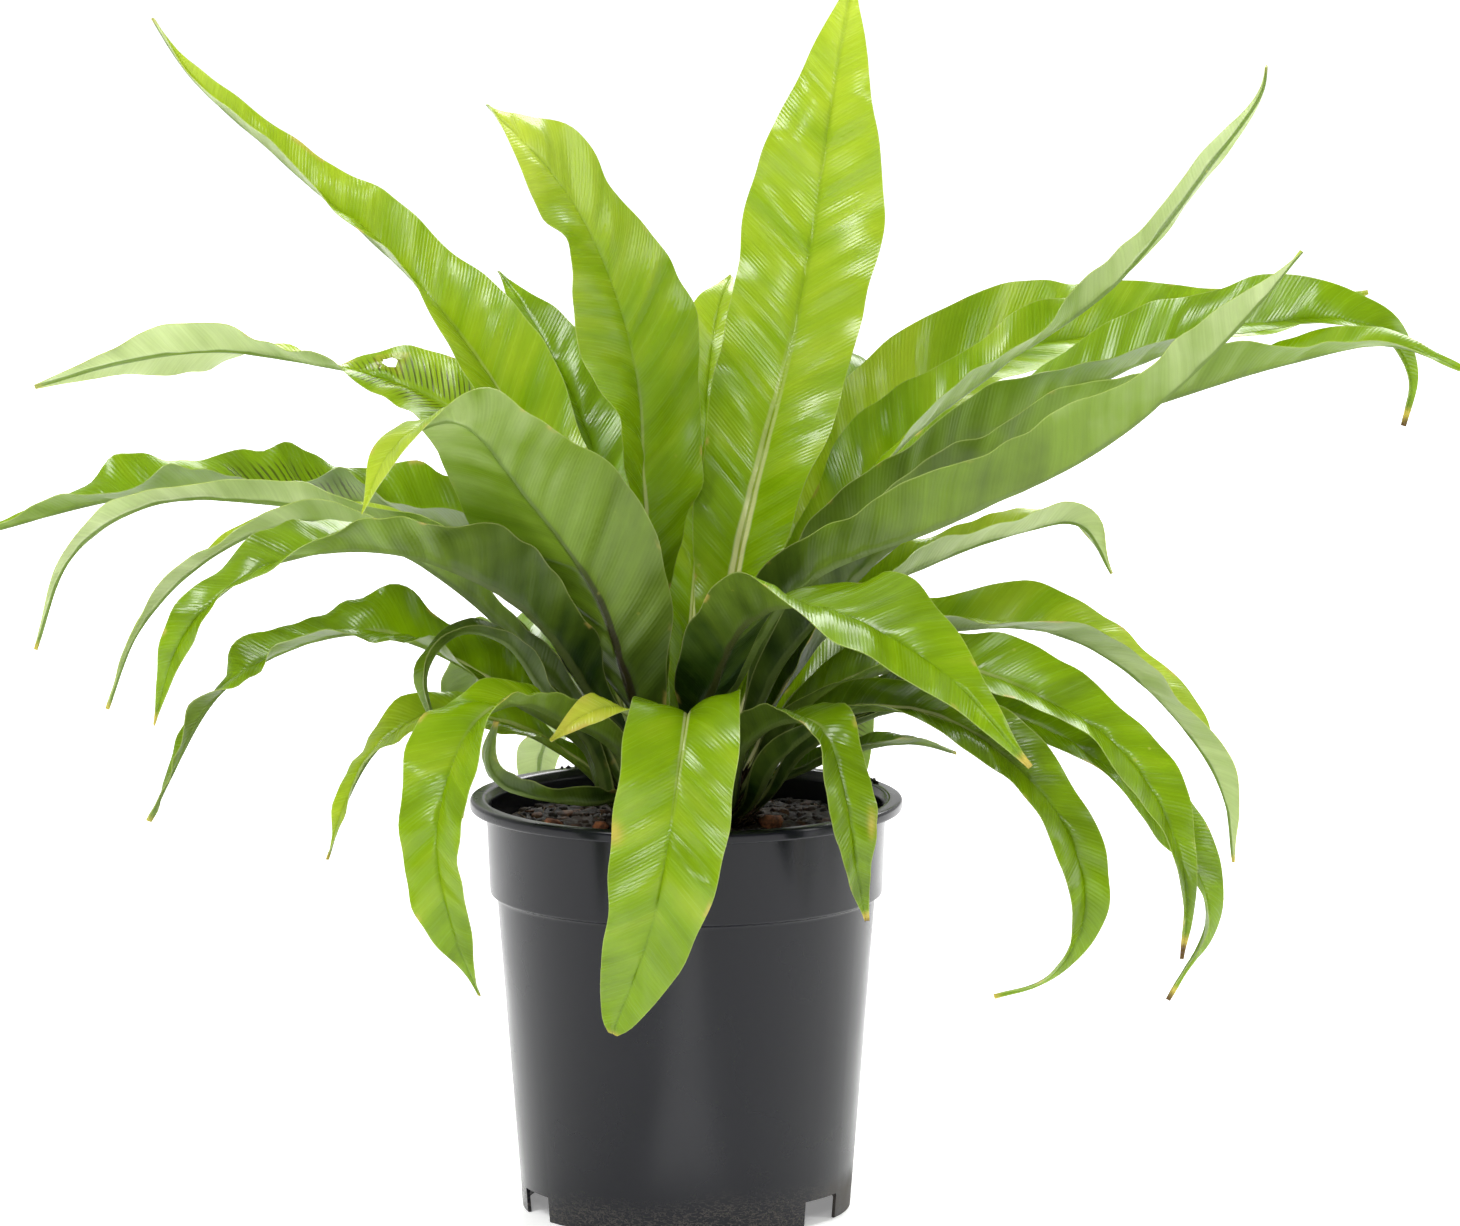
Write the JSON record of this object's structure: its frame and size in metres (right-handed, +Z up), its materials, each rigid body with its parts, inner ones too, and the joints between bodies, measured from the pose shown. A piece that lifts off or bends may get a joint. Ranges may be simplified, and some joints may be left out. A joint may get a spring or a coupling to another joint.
{
  "type": "potted japanese birds nest fern",
  "caption": "Bird's nest fern with a rosette of long strap-shaped wavy fronds growing from a low crown in a round black nursery pot.",
  "frame": {"origin": "centre of the pot's base, on the surface that it stands on", "axes": "+Z up; -Y toward the viewer of the picture, so +X is to the right in it"},
  "size_m": [0.5837, 0.3751, 0.4821],
  "materials": {
    "pot": "thin glossy black plastic",
    "soil": "damp peat and bark mix",
    "crown": "fibrous and scaly",
    "bark": "rough bark",
    "frond": "thin glossy leaf, paler and duller beneath"
  },
  "bodies": {
    "root": {"pot": "pot", "soil": "soil", "crown": "crown", "bark_chip_1": "bark", "bark_chip_2": "bark", "bark_chip_3": "bark", "frond_tall_middle": "frond", "frond_tall_left": "frond", "frond_long_left": "frond", "frond_front_left": "frond", "frond_front_right": "frond", "frond_long_right": "frond", "frond_high_right": "frond", "frond_arch_right": "frond", "frond_back_right": "frond", "frond_back_middle": "frond", "frond_back_left": "frond", "frond_torn_left": "frond", "frond_wavy_left": "frond", "frond_grey_left_a": "frond", "frond_grey_left_b": "frond", "frond_broad_left": "frond", "frond_front_middle": "frond", "frond_right_under": "frond", "frond_right_hook": "frond", "frond_pale_right": "frond", "frond_low_right_a": "frond", "frond_low_right_b": "frond", "frond_low_right_c": "frond", "frond_low_right_d": "frond", "frond_low_front_right": "frond", "frond_low_front_left": "frond", "frond_low_left_a": "frond", "frond_low_left_b": "frond", "frond_low_left_c": "frond", "frond_short_front": "frond", "frond_short_left": "frond", "frond_low_right_e": "frond", "frond_low_back_left": "frond", "frond_behind_a": "frond", "frond_behind_b": "frond", "frond_behind_c": "frond", "frond_behind_d": "frond"}
  },
  "joints": []
}
